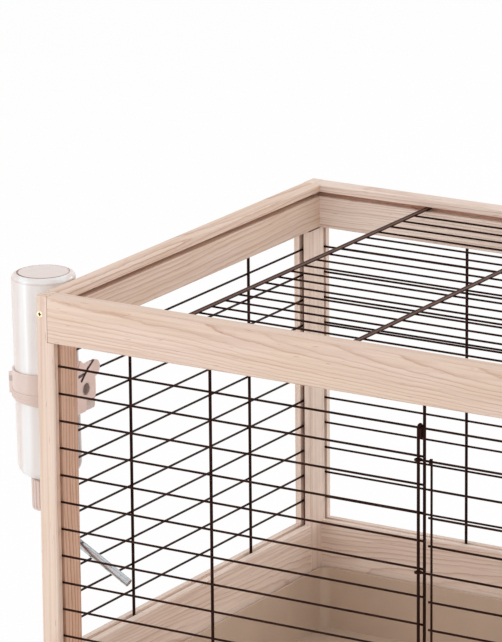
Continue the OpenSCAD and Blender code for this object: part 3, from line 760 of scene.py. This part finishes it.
def bottle_paint(look):
    """Milky blown plastic with upright flow streaks. Painted shade makes it pinker on its flanks
    and down its middle as seen from the camera, gives it a darker outline, and draws the line round
    the base."""
    paint = Paint("bottle_milky")
    low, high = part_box("bottle_body")
    radius = (high[1] - low[1]) / 2
    x, y, z = axes = paint.axes()
    skin = paint.noise(paint.vector(*axes), scale=900)
    flow = paint.noise(paint.stretched(axes, STREAK_WAVES))

    def beyond(aside, fade):
        """0 near the upright plane through the axis that points at the camera, and 1 far from it,
        out at the bottle's outline as the camera sees it.
        """
        return paint.between(aside, radius * fade[0], radius * fade[1])

    # From the axis, which leans outwards at the top
    dx, dy = x - (low[0] + radius), y - (low[1] + high[1]) / 2
    aside = (dx * math.cos(SHADE_PLANE_TURN) + dy * math.sin(SHADE_PLANE_TURN)).size()
    around = (dx * dx + dy * dy).root()
    side_shade = beyond(aside, FLANK_FADE).larger((1 - beyond(aside, MIDDLE_FADE)) * MIDDLE_SHARE)
    seam = beyond(aside, OUTLINE_FADE)

    # The flat base and the line round it, which is painted shade in the groove there, fainter
    # towards the cage's rear
    base_face = paint.between(z, *(high[2] - depth for depth in BASE_FADE))
    front = paint.between(dy * -1, *LINE_FRONT) * LINE_MORE + LINE_FAINT
    line = 1 - paint.between((around - look.base_line).size(), *LINE_FADE)
    line = line * base_face * front
    disc = 1 - paint.between(around, look.base_line - DISC_FADE, look.base_line)
    shoulder = 1 - paint.between((z - (high[2] - look.shoulder)).size(), *SHOULDER_FADE)

    streaks = paint.patches(flow, start=0.4, full=0.7, share=0.3)
    # Pink of the real flow streaks and of the flat base, and painted shade on the flanks and down
    # the middle
    tint = (streaks + side_shade * 0.7).larger(base_face * disc)
    base = paint.blend(tint.smaller(1.0), look.bottle, look.seam)
    # Painted shade of the outline and of the line round the base, and the faint line below the
    # rounded edge
    marks = (seam * 0.35).larger(shoulder * 0.2).larger(line)
    base = paint.blend(marks, base, look.base_rim)
    paint.surface(
        base,
        skin * BOTTLE_ROUGHER + flow * BOTTLE_ROUGHER + BOTTLE_ROUGH,
        paint.bump(flow, strength=0.12, distance=0.002),
        Transmission_Weight=0.05,
        IOR=1.45,
        Subsurface_Weight=0.3,
        Subsurface_Radius=(0.01, 0.007, 0.006),
        Subsurface_Scale=1.0,
        Specular_IOR_Level=0.5,
    )
    return paint


def rubber_paint(colour):
    """Soft seal."""
    paint = Paint("seal_rubber")
    dust = paint.noise(paint.point(), scale=700, detail=3, rough=0.6)
    base = paint.blend(dust * 0.4, colour, tuple(c * 0.7 for c in colour))
    paint.surface(base, dust * 0.1 + 0.7, paint.bump(dust, strength=0.2, distance=0.0002))
    return paint


class CAGE_OT_tray(bpy.types.Operator):
    """Gives the tray its moulded plastic"""

    bl_idname = "rabbit_cage.tray"
    bl_label = "Finish Tray"

    def execute(self, context):
        look = context.scene.cage_plastic
        paint = moulded_paint("tray_plastic", look, look.tray, roughness=0.42, grain=0.22)
        cover("tray", paint)
        return {"FINISHED"}


class CAGE_OT_bottle(bpy.types.Operator):
    """Gives the bottle, its bracket, its cap and the seal their plastics"""

    bl_idname = "rabbit_cage.bottle"
    bl_label = "Finish Bottle"

    def execute(self, context):
        look = context.scene.cage_plastic
        cover("bottle_body", bottle_paint(look))
        for name, shaded in BRACKET_NODES.items():
            # The clip gets the lighter copy of the bracket's plastic, as painted light
            colour = look.clip if name == "bracket_clip" else look.bracket
            plastic = moulded_paint(
                name + "_plastic", look, colour, roughness=0.33, grain=0.12, shaded=shaded
            )
            cover(name, plastic)
        cover("cap_seal", rubber_paint(look.rubber))
        return {"FINISHED"}


# Metal

# Waves in a metre along X, Y and Z of the drawing marks
MARK_WAVES = (900, 900, 60)
# Depth below the cage's outer faces at which the painted shade in the screws' recesses begins and
# is full
RECESS_SHADE_FADE = (0.0003, 0.0007)


def metal_paint(name, colour, stain, roughness, recess=None):
    """Bare or plated metal with fine drawing marks and dull spots. The recess gives the outer faces
    of the cage in X and Y, below which painted shade darkens the metal in the screws' recesses, and
    the shade's colour."""
    paint = Paint(name)
    x, y, _ = axes = paint.axes()
    marks = paint.noise(paint.stretched(axes, MARK_WAVES))
    dull = paint.noise(paint.vector(*axes), scale=260, detail=3, rough=0.6)
    base = paint.blend(paint.patches(dull, start=0.45, full=0.75, share=0.6), colour, stain)
    metallic = 1.0
    if recess:
        face_x, face_y, shade_colour = recess
        # Painted shade in the screws' recesses, which are also made less metallic
        below = (face_x - x.size()).smaller(face_y - y.size())
        recess_shade = paint.between(below, *RECESS_SHADE_FADE)
        base = paint.blend(recess_shade * 0.9, base, shade_colour)
        metallic = 1 - recess_shade * 0.8
    rough = marks * 0.12 + dull * 0.12 + (roughness - 0.1)
    relief = paint.bump(marks, strength=0.12, distance=0.0001)
    paint.surface(base, rough, relief, Metallic=metallic)
    return paint


class CAGE_OT_metal(bpy.types.Operator):
    """Gives the screws their brass and the drinking tube and ball their steel"""

    bl_idname = "rabbit_cage.metal"
    bl_label = "Finish Metal"

    def execute(self, context):
        look = context.scene.cage_metal
        low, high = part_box("post_front_right")
        recess = (high[0], -low[1], look.recess_shade)
        brass = metal_paint(
            "screw_brass", look.brass, look.tarnish, roughness=0.36, recess=recess
        )
        cover("frame_screws", brass)
        steel = metal_paint("tube_steel", look.steel, look.dull, roughness=0.2)
        for name in ("spout_tube", "spout_ball"):
            cover(name, steel)
        return {"FINISHED"}


# Stage


class Lamp(NamedTuple):
    """A rectangular lamp."""

    power: str  # the stage's property that holds its power
    size: tuple
    place: tuple
    target: tuple


# The camera: how far it is turned to the left, turned down and rolled, in degrees, the width of
# its sensor in millimetres, and how far it sees
CAMERA_TURN = 31.621
CAMERA_DOWN = 15.995
CAMERA_ROLL = -0.512
CAMERA_SENSOR = 36
CAMERA_FAR = 100

# Half the floor's width, its two greys, and how white the eye sees it
FLOOR_REACH = 30
FLOOR_PALE = (0.9, 0.9, 0.9)
FLOOR_GREY = (0.86, 0.86, 0.86)
FLOOR_WHITE = 0.9
WHITE = (1, 1, 1, 1)
LAMPS = {
    "key": Lamp("key", (1.8, 2.2), (0.4, -3.3, 2.1), (0, 0, 0.3)),
    "top": Lamp("fill", (2.4, 2.0), (0.3, 0.2, 3.2), (0, 0, 0.3)),
    # Lights the inner faces of the left side and shines along the roof's rods
    "side": Lamp("side", (2.0, 1.6), (1.4, 3.1, 1.35), (-0.4, 0, 0.45)),
    # Its reflection runs down the bottle as a bright band
    "strip": Lamp("strip", (0.14, 1.2), (-1.30, -1.13, 0.62), (-0.56, -0.19, 0.62)),
}


def seen_by_eye(paint):
    """1 for rays that show the stage, in the picture or in gloss and glass, else 0."""
    seen = None
    for ray in ("Is Camera Ray", "Is Glossy Ray", "Is Transmission Ray"):
        kind = paint.add("ShaderNodeLightPath", output=ray)
        seen = kind if seen is None else seen.larger(kind)
    return seen


def floor_paint():
    """Pale floor that stays white in the picture and keeps the cage's shadow."""
    paint = Paint("studio_floor")
    grain = paint.noise(paint.point(), scale=60, detail=3)
    grey = paint.blend(grain * 0.2, FLOOR_PALE, FLOOR_GREY)
    matt = paint.add("ShaderNodeBsdfDiffuse", {}, {"Color": grey})
    glow = paint.add("ShaderNodeEmission", {}, {"Color": WHITE, "Strength": 1.0})
    share = seen_by_eye(paint) * FLOOR_WHITE
    paint.show(paint.add("ShaderNodeMixShader", {}, {0: share, 1: matt, 2: glow}))
    return paint


def lay_floor(scene):
    mesh = bpy.data.meshes.new("floor")
    r = FLOOR_REACH
    mesh.from_pydata([(-r, -r, 0), (r, -r, 0), (r, r, 0), (-r, r, 0)], [], [(0, 1, 2, 3)])
    mesh.materials.append(floor_paint().material)
    floor = bpy.data.objects.new("floor", mesh)
    scene.collection.objects.link(floor)


def light_stage(scene, look):
    """The world, white to the eye and plain light to the cage, and the lamps."""
    world = bpy.data.worlds.new("studio")
    scene.world = world
    paint = Paint("studio", world)
    level = seen_by_eye(paint) * (1 - look.world) + look.world
    sky = paint.add("ShaderNodeBackground", {}, {"Color": WHITE, "Strength": level})
    paint.add("ShaderNodeOutputWorld", {}, {"Surface": sky})
    for name, lamp in LAMPS.items():
        light = bpy.data.lights.new(name, "AREA")
        light.energy = getattr(look, lamp.power)
        light.shape = "RECTANGLE"
        light.size, light.size_y = lamp.size
        holder = bpy.data.objects.new(name, light)
        holder.location = lamp.place
        aim = Vector(lamp.target) - Vector(lamp.place)
        holder.rotation_euler = aim.to_track_quat("-Z", "Y").to_euler()
        scene.collection.objects.link(holder)


def set_camera(scene, look):
    view = bpy.data.cameras.new("camera")
    view.lens = look.lens
    view.sensor_width = CAMERA_SENSOR
    view.clip_end = CAMERA_FAR
    camera = bpy.data.objects.new("camera", view)
    turn = Matrix.Rotation(math.radians(CAMERA_TURN), 4, "Z")
    tilt = Matrix.Rotation(math.radians(90 - CAMERA_DOWN), 4, "X")
    roll = Matrix.Rotation(math.radians(CAMERA_ROLL), 4, "Z")
    camera.matrix_world = Matrix.Translation(look.eye) @ turn @ tilt @ roll
    scene.collection.objects.link(camera)
    scene.camera = camera


class CAGE_OT_stage(bpy.types.Operator):
    """Sets the pale floor, the lamps, the world and the camera"""

    bl_idname = "rabbit_cage.stage"
    bl_label = "Set Stage"

    def execute(self, context):
        scene = context.scene
        lay_floor(scene)
        light_stage(scene, scene.cage_stage)
        set_camera(scene, scene.cage_stage)
        scene.view_settings.view_transform = "Standard"
        return {"FINISHED"}


SECTIONS = (
    ("cage_timber", TimberLook, (CAGE_OT_timber, CAGE_OT_floor_panel)),
    ("cage_wire", WireLook, (CAGE_OT_wire,)),
    ("cage_plastic", PlasticLook, (CAGE_OT_tray, CAGE_OT_bottle)),
    ("cage_metal", MetalLook, (CAGE_OT_metal,)),
    ("cage_stage", StageLook, (CAGE_OT_stage,)),
)


class CAGE_PT_finishes(bpy.types.Panel):
    """Sidebar panel with the finishes and the stage"""

    bl_idname = "CAGE_PT_finishes"
    bl_label = "Rabbit Cage"
    bl_space_type = "VIEW_3D"
    bl_region_type = "UI"
    bl_category = "Rabbit Cage"

    def draw(self, context):
        for name, _, operators in SECTIONS:
            box = self.layout.box()
            look = getattr(context.scene, name)
            for prop in look.bl_rna.properties.keys():
                if prop not in ("rna_type", "name"):
                    box.prop(look, prop)
            for operator in operators:
                box.operator(operator.bl_idname)


CLASSES = [cls for _, look, operators in SECTIONS for cls in (look, *operators)]
CLASSES.append(CAGE_PT_finishes)


def register():
    for cls in CLASSES:
        bpy.utils.register_class(cls)
    for name, look, _ in SECTIONS:
        setattr(bpy.types.Scene, name, bpy.props.PointerProperty(type=look))


def unregister():
    for name, _, _ in SECTIONS:
        delattr(bpy.types.Scene, name)
    for cls in reversed(CLASSES):
        bpy.utils.unregister_class(cls)


def main():
    register()
    bpy.ops.rabbit_cage.timber()
    bpy.ops.rabbit_cage.floor_panel()
    bpy.ops.rabbit_cage.wire()
    bpy.ops.rabbit_cage.tray()
    bpy.ops.rabbit_cage.bottle()
    bpy.ops.rabbit_cage.metal()
    bpy.ops.rabbit_cage.stage()


if __name__ == "__main__":
    main()
